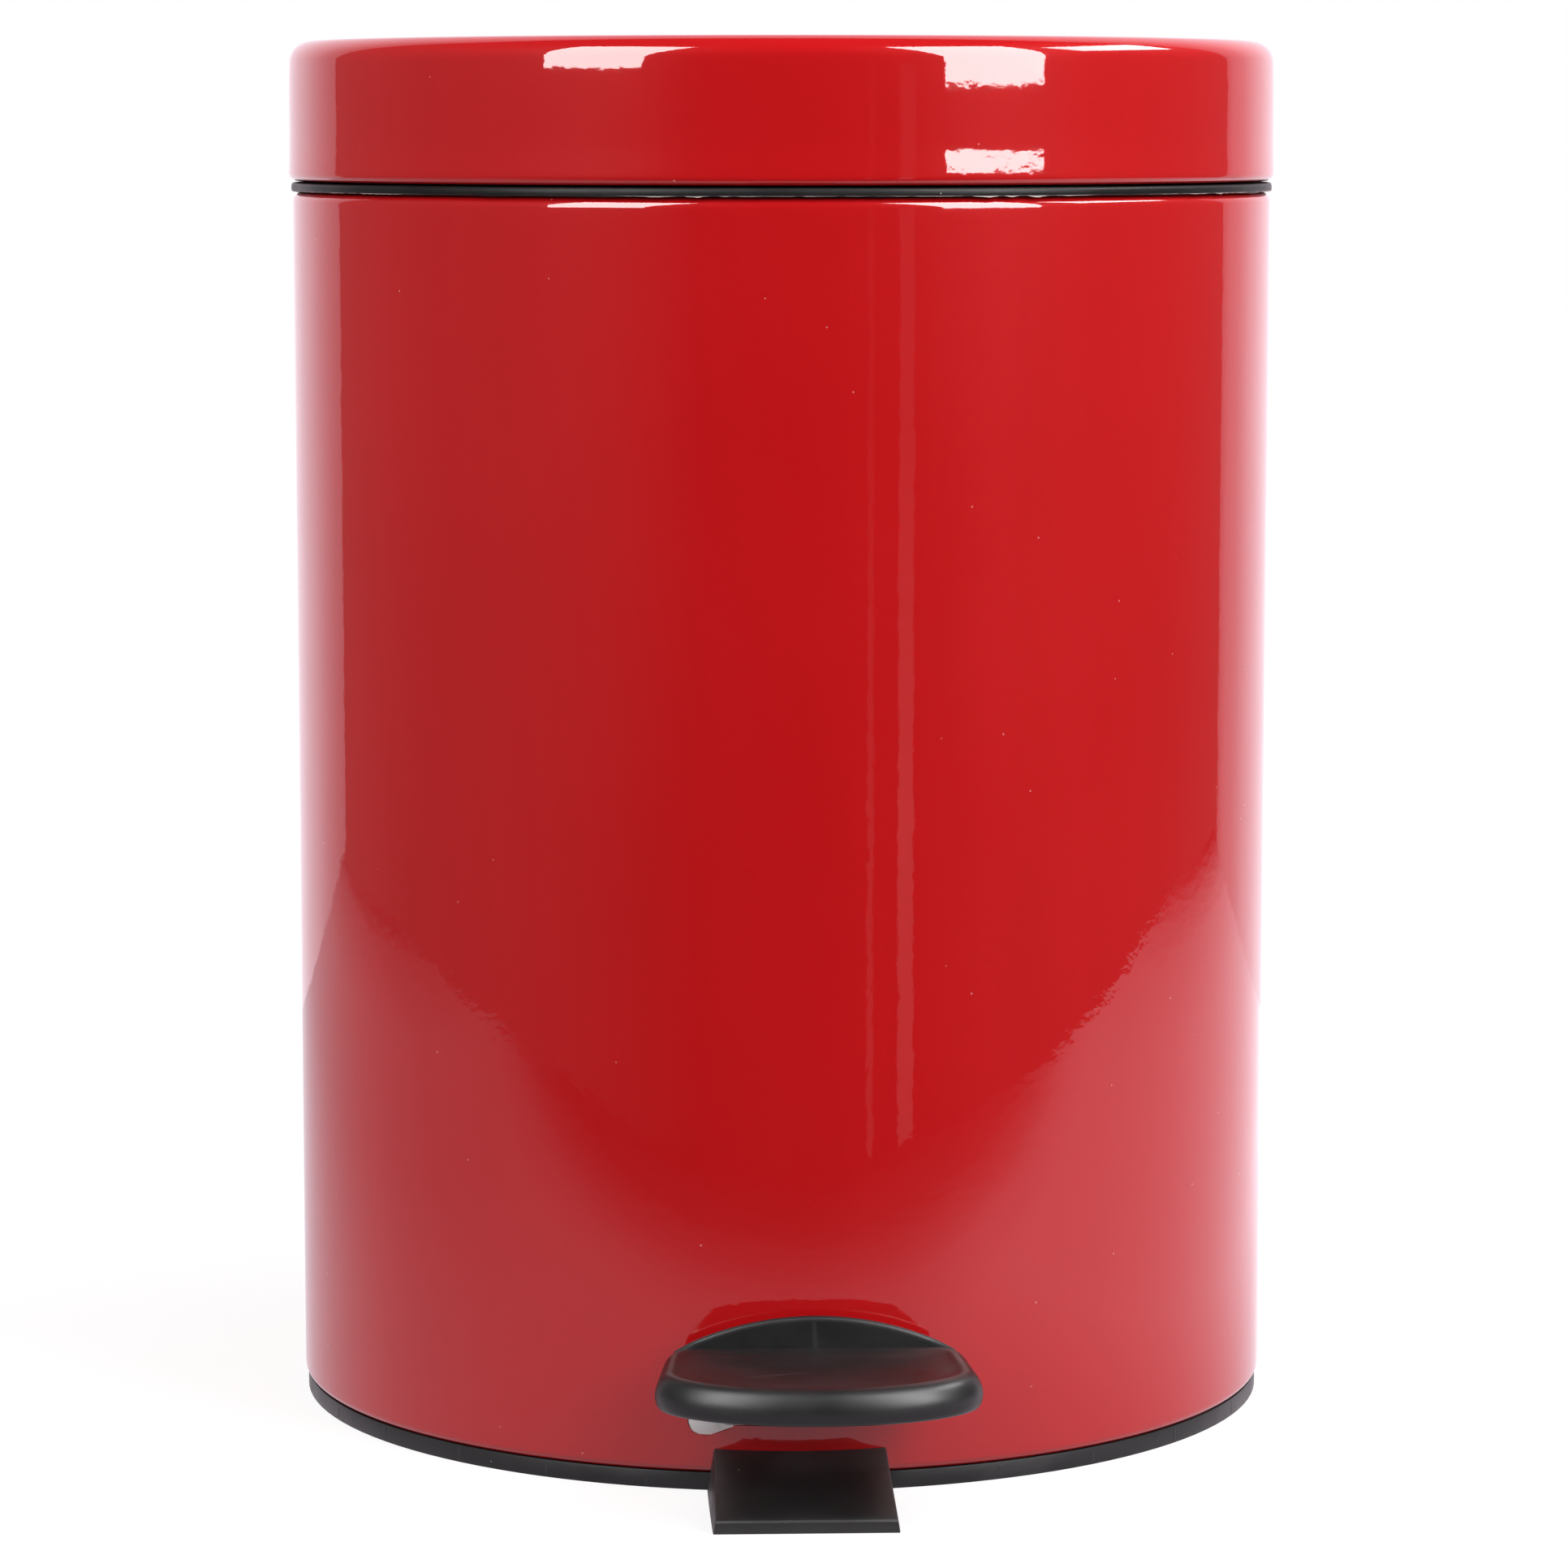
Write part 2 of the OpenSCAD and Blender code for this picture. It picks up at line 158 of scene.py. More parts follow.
def mat_enamel():
    m, nt, p, c = new_mat("red_enamel")
    broad = noise(nt, c, 9.0, 3.0)
    streak = noise(nt, c, 60.0, 2.0, 0.5, (1.0, 1.0, 0.02))
    base = ramp(nt, broad, [(0.3, (0.585, 0.0062, 0.0082)), (0.7, (0.630, 0.0074, 0.0098))])
    base = mixc(nt, ramp(nt, streak, [(0.45, grey(0.0)), (0.75, grey(0.35))]), base, (0.655, 0.0090, 0.0120))
    dust = specks(nt, c, 170.0, 0.035, 0.62)
    base = mixc(nt, dust, base, (0.80, 0.22, 0.22))
    nt.links.new(base, p.inputs["Base Color"])
    rough = ramp(nt, noise(nt, c, 25.0, 3.0), [(0.3, grey(0.30)), (0.7, grey(0.40))])
    rough = mixc(nt, dust, rough, grey(0.7))
    nt.links.new(rough, p.inputs["Roughness"])
    p.inputs["IOR"].default_value = 1.5
    p.inputs["Specular IOR Level"].default_value = 0.02
    p.inputs["Coat Weight"].default_value = 1.0
    p.inputs["Coat Roughness"].default_value = 0.03
    p.inputs["Coat IOR"].default_value = 1.5
    peel = noise(nt, c, 420.0, 2.0, 0.5)
    wave = noise(nt, c, 55.0, 2.0, 0.5)
    bump(nt, p, [(wave, 0.05, 0.0006), (peel, 0.10, 0.00012), (dust, 0.35, 0.00006)], True)
    return m


def mat_plastic(name, dark, light, rough=(0.36, 0.5), grain=2600.0, grain_strength=0.18,
                spec=0.45, scuffs=0.0, dust=0.0, coat=0.0, streaks=False):
    m, nt, p, c = new_mat(name)
    col = ramp(nt, noise(nt, c, 35.0, 5.0, 0.6), [(0.3, dark), (0.72, light)])
    rg = ramp(nt, noise(nt, c, 70.0, 5.0, 0.6), [(0.3, grey(rough[0])), (0.7, grey(rough[1]))])
    if scuffs:
        s = noise(nt, c, 320.0, 6.0, 0.7, (1.0, 6.0, 1.0))
        mask = ramp(nt, s, [(0.60, grey(0.0)), (0.74, grey(scuffs))])
        col = mixc(nt, mask, col, tuple(min(1, 3.2 * v + 0.02) for v in light))
        rg = mixc(nt, mask, rg, grey(0.62))
    if dust:
        d = specks(nt, c, 330.0, 0.06, 1.0 - dust)
        col = mixc(nt, d, col, (0.30, 0.28, 0.26))
        rg = mixc(nt, d, rg, grey(0.9))
    # painted highlight: convex edges, found by Pointiness, are mixed towards a lighter colour on every plastic
    geo = nt.nodes.new("ShaderNodeNewGeometry")
    edge = ramp(nt, geo.outputs["Pointiness"], [(0.52, grey(0.0)), (0.60, grey(0.5))])
    col = mixc(nt, edge, col, tuple(min(1, 2.2 * v + 0.01) for v in light))
    nt.links.new(col, p.inputs["Base Color"])
    nt.links.new(rg, p.inputs["Roughness"])
    p.inputs["Specular IOR Level"].default_value = spec
    if coat:
        p.inputs["Coat Weight"].default_value = coat
        p.inputs["Coat Roughness"].default_value = 0.25
    layers = [(noise(nt, c, grain, 2.0, 0.5), grain_strength, 0.00006),
              (noise(nt, c, 240.0, 3.0, 0.5), 0.10, 0.00012)]
    if streaks:
        layers.append((noise(nt, c, 200.0, 3.0, 0.6, (0.08, 0.08, 4.0)), 0.25, 0.00015))
    bump(nt, p, layers)
    return m


def mat_metal(name, a, b, rough=(0.24, 0.36), brush=(1.0, 0.06, 1.0)):
    m, nt, p, c = new_mat(name)
    cloud = noise(nt, c, 60.0, 5.0, 0.6)
    col = ramp(nt, cloud, [(0.28, a), (0.74, b)])
    fine = noise(nt, c, 900.0, 3.0, 0.6, brush)
    rg = ramp(nt, fine, [(0.3, grey(rough[0])), (0.7, grey(rough[1]))])
    stain = ramp(nt, noise(nt, c, 140.0, 6.0, 0.7), [(0.60, grey(0.0)), (0.78, grey(0.5))])
    col = mixc(nt, stain, col, tuple(v * 0.72 for v in a))
    nt.links.new(col, p.inputs["Base Color"])
    nt.links.new(rg, p.inputs["Roughness"])
    p.inputs["Metallic"].default_value = 1.0
    bump(nt, p, [(fine, 0.12, 0.00003), (cloud, 0.05, 0.0001)])
    return m


def mat_nylon():
    m, nt, p, c = new_mat("white_nylon")
    col = ramp(nt, noise(nt, c, 90.0, 4.0), [(0.3, (0.88, 0.865, 0.875)), (0.7, (0.93, 0.92, 0.93))])
    nt.links.new(col, p.inputs["Base Color"])
    nt.links.new(ramp(nt, noise(nt, c, 150.0, 3.0), [(0.3, grey(0.30)), (0.7, grey(0.42))]), p.inputs["Roughness"])
    p.inputs["Subsurface Weight"].default_value = 0.15
    p.inputs["Subsurface Radius"].default_value = (0.002, 0.002, 0.002)
    bump(nt, p, [(noise(nt, c, 1500.0, 2.0), 0.1, 0.00005)])
    return m


def mat_rubber():
    m, nt, p, c = new_mat("black_rubber")
    col = ramp(nt, noise(nt, c, 120.0, 5.0, 0.6), [(0.3, grey(0.012)), (0.75, grey(0.028))])
    nt.links.new(col, p.inputs["Base Color"])
    nt.links.new(ramp(nt, noise(nt, c, 200.0, 4.0), [(0.3, grey(0.62)), (0.7, grey(0.8))]), p.inputs["Roughness"])
    bump(nt, p, [(noise(nt, c, 1800.0, 3.0), 0.35, 0.00008)])
    return m


MATS = {
    "red_enamel": mat_enamel(),
    "black_plastic": mat_plastic("black_plastic", grey(0.008), (0.015, 0.015, 0.016), (0.32, 0.46), spec=0.26, dust=0.12, streaks=True),
    "black_foot": mat_plastic("black_foot", (0.0080, 0.0076, 0.0078), (0.0135, 0.0130, 0.0132), (0.46, 0.58), spec=0.28, scuffs=0.10, dust=0.12),
    "pedal_plastic": mat_plastic("pedal_plastic", (0.0085, 0.0085, 0.0090), (0.0145, 0.0143, 0.0150), (0.33, 0.43), grain=2200.0,
                                 grain_strength=0.26, spec=0.30, scuffs=0.16),
    "bucket_plastic": mat_plastic("bucket_plastic", grey(0.022), (0.034, 0.034, 0.036), (0.42, 0.55), scuffs=0.12),
    "white_nylon": mat_nylon(),
    "collar": mat_plastic("collar_plastic", grey(0.006), (0.011, 0.011, 0.012), (0.34, 0.48), spec=0.13, dust=0.12, streaks=True),
    # light pinkish-beige colour on the flash fringe: painted highlight along the collar's lower edge
    "flash": mat_plastic("flash_painted_highlight", (0.045, 0.036, 0.034), (0.23, 0.17, 0.16), (0.5, 0.7), grain=900.0, grain_strength=0.3, dust=0.3),
    "zinc_plated": mat_metal("zinc_plated", (0.52, 0.54, 0.57), (0.66, 0.68, 0.70)),
    "spring_steel": mat_metal("spring_steel", (0.24, 0.24, 0.25), (0.36, 0.36, 0.37), (0.3, 0.45)),
    "black_rubber": mat_rubber(),
}


# ------------------------------------------------------------------- geometry

def link(mesh, name):
    o = bpy.data.objects.new(name, mesh)
    scene.collection.objects.link(o)
    return o


def finish_mesh(o, angle=32.0):
    """Smooth faces, with creases kept sharp where faces meet at more than angle."""
    me = o.data
    bm = bmesh.new()
    bm.from_mesh(me)
    bmesh.ops.recalc_face_normals(bm, faces=bm.faces)
    for f in bm.faces:
        f.smooth = True
    lim = math.radians(angle)
    for e in bm.edges:
        e.smooth = len(e.link_faces) == 2 and e.calc_face_angle(3.2) < lim
    bm.to_mesh(me)
    bm.free()
    me.update()
    return o


def revolve(name, prof, segs=360, angle=32.0):
    """A closed profile of (r, z) in mm, turned round Z. Points at r = 0 become one vertex."""
    verts, rings, faces = [], [], []
    for r, z in prof:
        if r < 1e-6:
            rings.append([len(verts)] * segs)
            verts.append((0, 0, z * MM))
        else:
            rings.append(list(range(len(verts), len(verts) + segs)))
            for i in range(segs):
                a = 2 * math.pi * i / segs
                verts.append((r * MM * math.cos(a), r * MM * math.sin(a), z * MM))
    n = len(prof)
    for k in range(n):
        a, b = rings[k], rings[(k + 1) % n]
        if a[0] == a[1] and b[0] == b[1]:
            continue
        for i in range(segs):
            j = (i + 1) % segs
            q = [a[i], a[j], b[j], b[i]]
            q = [v for m, v in enumerate(q) if v not in q[:m]]
            if len(q) > 2:
                faces.append(q)
    me = bpy.data.meshes.new(name)
    me.from_pydata(verts, [], faces)
    me.validate()
    return finish_mesh(link(me, name), angle)


def prism(name, pts, axis, lo, hi):
    """A polygon of 2-D points in mm, thick along axis from lo to hi. axis y: points are (x, z); z: (x, y); x: (y, z)."""
    put = {"y": lambda p, t: (p[0], t, p[1]), "z": lambda p, t: (p[0], p[1], t), "x": lambda p, t: (t, p[0], p[1])}[axis]
    n = len(pts)
    verts = [tuple(v * MM for v in put(p, t)) for t in (lo, hi) for p in pts]
    faces = [list(range(n))[::-1], list(range(n, 2 * n))]
    faces += [[i, (i + 1) % n, n + (i + 1) % n, n + i] for i in range(n)]
    me = bpy.data.meshes.new(name)
    me.from_pydata(verts, [], faces)
    o = link(me, name)
    bm = bmesh.new()
    bm.from_mesh(me)
    bmesh.ops.recalc_face_normals(bm, faces=bm.faces)
    bm.to_mesh(me)
    bm.free()
    return o


def apply_mods(o):
    dg = bpy.context.evaluated_depsgraph_get()
    me = bpy.data.meshes.new_from_object(o.evaluated_get(dg))
    old = o.data
    o.modifiers.clear()
    o.data = me
    bpy.data.meshes.remove(old)
    return o


def boolean(o, cutters, op="DIFFERENCE"):
    for c in cutters:
        m = o.modifiers.new("b", "BOOLEAN")
        m.operation = op
        m.solver = "EXACT"
        m.object = c
    bpy.context.view_layer.update()
    apply_mods(o)
    for c in cutters:
        bpy.data.objects.remove(c)
    return o


def rrect(x0, z0, x1, z1, r, n=8):
    out = []
    for cx, cz, a0 in ((x1 - r, z1 - r, 0), (x0 + r, z1 - r, 90), (x0 + r, z0 + r, 180), (x1 - r, z0 + r, 270)):
        for k in range(n + 1):
            a = math.radians(a0 + 90 * k / n)
            out.append((cx + r * math.cos(a), cz + r * math.sin(a)))
    return out


def arc(cx, cz, r, a0, a1, n):
    return [(cx + r * math.cos(math.radians(a0 + (a1 - a0) * k / n)),
             cz + r * math.sin(math.radians(a0 + (a1 - a0) * k / n))) for k in range(n + 1)]


def piece(o, body, slot, *nodes, mat=None):
    o.data.materials.clear()
    o.data.materials.append(mat or MATS[slot])
    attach(o, body)
    if nodes:
        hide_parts(*nodes)
    return o


def refine(node, bevel=0.25, segs=2, angle=28.0):
    """The CAD solid again, welded, with small rounded edges."""
    src = NODES[node]
    o = link(src.data.copy(), node + "_v")
    bm = bmesh.new()
    bm.from_mesh(o.data)
    bmesh.ops.remove_doubles(bm, verts=bm.verts, dist=2e-6)
    bmesh.ops.dissolve_degenerate(bm, edges=bm.edges, dist=1e-6)
    bmesh.ops.dissolve_limit(bm, angle_limit=math.radians(0.6), verts=bm.verts, edges=bm.edges)
    bm.to_mesh(o.data)
    bm.free()
    if bevel:
        m = o.modifiers.new("bevel", "BEVEL")
        m.width = bevel * MM
        m.segments = segs
        m.limit_method = "ANGLE"
        m.angle_limit = math.radians(35)
        m.use_clamp_overlap = True
        m.miter_outer = "MITER_ARC"
        m.harden_normals = False
        apply_mods(o)
    finish_mesh(o, angle if not bevel else 40)
    return piece(o, BODY_OF[node], SLOT_OF[node], node)


# -- lid: skirt a little flared at the hem, nearly upright, then a tight shoulder and a shallow dome
SKIRT_TILT = [(256.05, 0.8), (256.6, 1.65), (258.6, 1.75), (260.9, 1.55), (261.5, 1.10), (262.3, 0.35), (263.6, 0.10), (267.0, 0.05), (270.5, 0.12),
              (272.4, 0.42), (273.6, 0.70), (275.0, 0.95), (276.4, 1.35), (277.6, 2.0), (278.9, 3.5)]


def skirt_points():
    """(r, z) up the skirt, its tilt in degrees following SKIRT_TILT."""
    pts, r = [(102.5, 256.05)], 102.5
    z = 256.05
    while z < 278.9 - 1e-6:
        z2 = min(z + 0.45, 278.9)
        mid = (z + z2) / 2
        t = float(np.interp(mid, [p[0] for p in SKIRT_TILT], [p[1] for p in SKIRT_TILT]))
        r -= math.tan(math.radians(t)) * (z2 - z)
        pts.append((r, z2))
        z = z2
    return pts


def lid_outer(off=0.0):
    """From the middle of the top, out and round the shoulder."""
    rs, zs = skirt_points()[-1]
    rad = (283.0 - zs) / (1 - math.sin(math.radians(3.5)))
    cr, cz = rs - rad * math.cos(math.radians(3.5)), 283.0 - rad
    pts = []
    for k in range(0, 29):
        r = (cr - 0.1) * k / 28
        pts.append((r, 283.0 + 1.2 * (1 - (r / (cr - 0.1)) ** 2) - off))
    for k in range(1, 31):
        t = math.radians(88.0 - (88.0 - 3.5) * k / 30)
        pts.append((cr + (rad - off) * math.cos(t), cz + (rad - off) * math.sin(t)))
    return pts


def make_lid():
    outer = lid_outer(0.0)
    skirt = skirt_points()[::-1][1:]
    hem = arc(100.9, 256.05, 1.6, 0, -300, 24)[1:]
    inner = lid_outer(0.7)
    prof = outer + skirt + hem + [(101.5, 258.5), (101.45, 264.0), (101.5, 271.0)] + inner[::-1]
    lid = revolve("lid_shell_v", prof, 384, 40)
    cut = prism("cut", [(-12.3, 90), (12.3, 90), (12.3, 110), (-12.3, 110)], "z", 250, 261.8)
    boolean(lid, [cut])
    finish_mesh(lid, 40)
    return piece(lid, "lid", "red_enamel", "lid_shell")


def make_body():
    R, t = 101.7, 0.6
    prof = []
    prof += arc(R - 2, 250.2, 2.0, 180, 0, 22)                      # top roll, inside to outside
    prof += [(R, z) for z in np.linspace(248, 8, 25)]
    prof += arc(R - 1.8, 5.3, 1.8, 0, -180, 20)                     # bottom roll
    prof += [(R - 3.6, 7.9), (R - 3.6 + t, 7.9)]
    prof += arc(R - 1.8, 5.3, 1.8 - t, -180, 0, 16)
    prof += [(R - t, z) for z in np.linspace(8, 248, 13)]
    prof += arc(R - 2, 250.2, 2 - t, 0, 180, 16)
    prof += [(R - 4 + t, 247.6), (R - 4, 247.6)]
    body = revolve("body_shell_v", prof, 384, 40)
    slot = prism("c1", rrect(-16, 13.2, 16, 27.6, 2.3), "y", -110, -90)
    key = prism("c2", smooth_key(), "y", -110, -90)
    notch = prism("c3", [(-15, 90), (15, 90), (15, 110), (-15, 110)], "z", 240, 260)
    boolean(body, [slot, key, notch])
    finish_mesh(body, 40)
    return piece(body, "can", "red_enamel", "body_shell")


def smooth_key(g=0.0):
    base = [(-22 + g, 20 - g), (-22 + g, 13.4), (-21.3 + g, 11.8 + g), (-19.7, 11.1 + g), (-17.5, 11.1 + g),
            (-12 - g, 13.2 + g), (-12 - g, 20 - g)]
    out = []
    n = len(base)
    for i, p in enumerate(base):                                   # one corner-cutting pass on the round end
        q, r = base[i - 1], base[(i + 1) % n]
        if 1 <= i <= 5:
            out.append((p[0] * 0.75 + q[0] * 0.25 if i != 1 else p[0], p[1] * 0.75 + q[1] * 0.25 if i != 1 else p[1]))
            out.append((p[0] * 0.75 + r[0] * 0.25, p[1] * 0.75 + r[1] * 0.25))
        else:
            out.append(p)
    return out


def make_collar():
    """Moulded collar, with the ragged flash left along the flange's lower edge."""
    prof = [(88.2, 247.0), (93.5, 247.0), (93.5, 252.25), (95.4, 252.25), (95.4, 240.3), (95.7, 240.0), (97.0, 240.0),
            (97.3, 240.3), (97.3, 252.25), (101.0, 252.25), (101.6, 252.28), (101.95, 252.45), (102.05, 252.75),
            (102.05, 253.3), (101.95, 253.75), (101.7, 254.0), (101.3, 254.1), (92.4, 254.1), (92.1, 253.9),
            (92.0, 253.6), (92.0, 248.9), (91.9, 248.7), (88.4, 248.7), (88.2, 248.5)]
    o = revolve("top_collar_v", prof, 720, 40)
    for v in o.data.vertices:
        r = math.hypot(v.co.x, v.co.y) / MM
        z = v.co.z / MM
        if r > 101.5 and z < 253.0:
            a = math.atan2(v.co.y, v.co.x)
            n = mnoise.fractal(Vector((math.cos(a) * 9, math.sin(a) * 9, 3.1)), 1.0, 2.0, 5)
            m = mnoise.noise(Vector((math.cos(a) * 2.2, math.sin(a) * 2.2, 8.0)))
            d = max(0.0, n + 0.15) * (0.35 + 0.5 * max(0.0, m + 0.1))
            v.co.z -= 0.45 * d * MM
            v.co *= 1.0
            s = 1 - 0.12 * d * MM / max(math.hypot(v.co.x, v.co.y), 1e-6)
            v.co.x *= s
            v.co.y *= s
    notch = prism("c3", [(-15, 93.8), (15, 93.8), (15, 115), (-15, 115)], "z", 235, 265)
    low = prism("c4", [(-15, 80), (15, 80), (15, 111), (-15, 111)], "z", 251, 262)
    boolean(o, [notch, low])
    finish_mesh(o, 40)
    return piece(o, "can", "black_plastic", "top_collar", mat=MATS["collar"])


def make_flash_painted_highlight():
    """The thin torn fringe that the mould left along the flange's lower edge; its light pinkish colour is a painted
    highlight along that edge.
    """
    n = 1440
    verts, faces = [], []
    for k in range(n):
        a = 2 * math.pi * k / n
        c, s = math.cos(a), math.sin(a)
        coarse = mnoise.noise(Vector((c * 3.1, s * 3.1, 5.0)))
        side = 0.5 + 0.5 * math.cos(a - math.radians(-60))              # more of it at the front right, where the light falls, so the painted highlight is wider there
        fine = mnoise.fractal(Vector((c * 34, s * 34, 1.7)), 1.0, 2.0, 4)
        w = max(0.0, coarse + 0.30 * side + 0.05) * max(0.0, fine * 0.9 + 0.42)
        w = min(w, 0.75)
        for r, z in ((101.75, 252.75), (101.98 + 0.30 * w, 252.52 - 0.62 * w), (101.70, 252.50 - 0.25 * w)):
            verts.append((r * c * MM, r * s * MM, z * MM))
    for k in range(n):
        b, d = 3 * k, 3 * ((k + 1) % n)
        for q in range(3):
            r = (q + 1) % 3
            faces.append([b + q, b + r, d + r, d + q])
    me = bpy.data.meshes.new("collar_flash_painted_highlight")
    me.from_pydata(verts, [], faces)
    o = finish_mesh(link(me, "collar_flash_painted_highlight"), 60)
    hinge_gap = prism("c10", [(-15, 90), (15, 90), (15, 115), (-15, 115)], "z", 235, 265)
    boolean(o, [hinge_gap])
    return piece(o, "can", "black_plastic", mat=MATS["flash"])


# -- pedal: rounded shoe with a dished tread and a half-moon wall at the back
PAD_DX, PAD_Y = 2.6, -126.0


def pad_outline(i, n=240):
    """The shoe's outline i mm inside: half an ellipse in front, a slightly narrowing round-cornered square behind."""
    out = []
    for k in range(n):
        a = 2 * math.pi * k / n
        c, s = math.cos(a), math.sin(a)
        w, b, f = 31.4 - i, 21.7 - i, 17.3 - i
        if s <= 0:
            t = 1 / math.sqrt((c / w) ** 2 + (s / f) ** 2)
            out.append((PAD_DX + t * c, PAD_Y + t * s))
        else:
            t = ((abs(c) / w) ** 12 + (s / b) ** 12) ** (-1 / 12)
            out.append((PAD_DX + t * c * (1 - 0.067 * t * s / 21.7), PAD_Y + t * s))
    return out


def make_pedal():
    n = 240
    rows = []                                       # (inset, scale to centre, z)
    for f, z in ((0.0, 28.80), (0.16, 28.82), (0.34, 28.87), (0.52, 28.97), (0.68, 29.12), (0.80, 29.30), (0.89, 29.52), (0.95, 29.70)):
        rows.append(("s", f, z))
    for i, z in ((5.2, 29.82), (4.5, 30.0), (3.9, 30.12), (3.4, 30.16), (2.9, 30.10), (2.35, 29.9), (1.8, 29.55), (1.3, 29.05),
                 (0.85, 28.4), (0.48, 27.65), (0.2, 26.85), (0.05, 26.1), (0.0, 25.4), (0.06, 24.7), (0.22, 24.0),
                 (0.5, 23.4), (0.8, 23.1), (1.15, 23.0), (2.1, 23.0), (2.35, 23.15), (2.45, 23.5), (2.7, 26.6), (3.2, 27.1)):
        rows.append(("i", i, z))
    for f, z in ((0.8, 27.2), (0.4, 27.25), (0.0, 27.25)):
        rows.append(("u", f, z))
    base_s, base_u = pad_outline(6.0, n), pad_outline(3.4, n)
    verts, rings, faces = [], [], []
    for kind, val, z in rows:
        if kind in "su":
            src = base_s if kind == "s" else base_u
            if val == 0.0:
                rings.append([len(verts)] * n)
                verts.append((PAD_DX * MM, -121 * MM, z * MM))
                continue
            pts = [(PAD_DX + (x - PAD_DX) * val, -121 + (y + 121) * val) for x, y in src]
        else:
            pts = pad_outline(val, n)
        rings.append(list(range(len(verts), len(verts) + n)))
        for x, y in pts:
            zz = z
            if kind != "u" and z > 25.9:                            # the tread falls a touch towards its front
                zz -= 0.20 * min(1.0, max(0.0, (-106 - y) / 34)) * (z - 25.9) / 4.3
            verts.append((x * MM, y * MM, zz * MM))
    for k in range(len(rings) - 1):
        a, b = rings[k], rings[k + 1]
        for i in range(n):
            j = (i + 1) % n
            q = [a[i], a[j], b[j], b[i]]
            q = [v for m, v in enumerate(q) if v not in q[:m]]
            if len(q) > 2:
                faces.append(q)
    me = bpy.data.meshes.new("pedal_pad_v")
    me.from_pydata(verts, [], faces)
    pad = finish_mesh(link(me, "pedal_pad_v"), 60)
    # half-moon wall: an arc above the tread, thinning to nothing at its ends
    cz, R = 36.0 - 60.0, 60.0
    m = 72
    halfang = math.degrees(math.asin(27.4 / 60.0))
    verts, faces, rings = [], [], []
    for k in range(m + 1):
        a = math.radians(90 + halfang - 2 * halfang * k / m)
        x = PAD_DX + R * math.cos(a)
        ztop = cz + R * math.sin(a)
        q = abs(x - PAD_DX) / 27.4
        yb = -104.35 - 1.3 * max(0.0, (q - 0.8) / 0.2) ** 2
        sect = [(yb, 26.5), (yb, ztop - 1.0), (yb - 0.1, ztop - 0.5), (yb - 0.4, ztop - 0.1), (yb - 0.75, ztop),
                (yb - 1.1, ztop - 0.08), (yb - 1.4, ztop - 0.35), (yb - 1.55, ztop - 0.8), (yb - 1.58, ztop - 1.25),
                (yb - 1.75, 28.0), (yb - 1.8, 26.5)]
        row = []
        for y, z in sect:
            row.append(len(verts))
            verts.append((x * MM, y * MM, z * MM))
        rings.append(row)
    ns = len(rings[0])
    for k in range(m):
        for s in range(ns):
            t = (s + 1) % ns
            faces.append([rings[k][s], rings[k][t], rings[k + 1][t], rings[k + 1][s]])
    faces.append(rings[0][::-1])
    faces.append(rings[-1])
    me = bpy.data.meshes.new("moon")
    me.from_pydata(verts, [], faces)
    moon = link(me, "moon")
    bm = bmesh.new()
    bm.from_mesh(me)
    bmesh.ops.remove_doubles(bm, verts=bm.verts, dist=1e-6)
    bmesh.ops.recalc_face_normals(bm, faces=bm.faces)
    bm.to_mesh(me)
    bm.free()
    boolean(pad, [moon], "UNION")
    slot = prism("c5", rrect(-12.4, 20.0, 12.4, 26.9, 0.6), "y", -109, -99)
    boolean(pad, [slot])
    boss = []
    for s in (-1, 1):
        ring = [(s * 7 + 4 * math.cos(2 * math.pi * k / 32), -119 + 4 * math.sin(2 * math.pi * k / 32)) for k in range(32)]
        boss.append(prism("boss", ring, "z", 26.5, 28.0))
    boolean(pad, boss, "UNION")
    finish_mesh(pad, 38)
    return piece(pad, "pedal", "pedal_plastic", "pedal_pad")


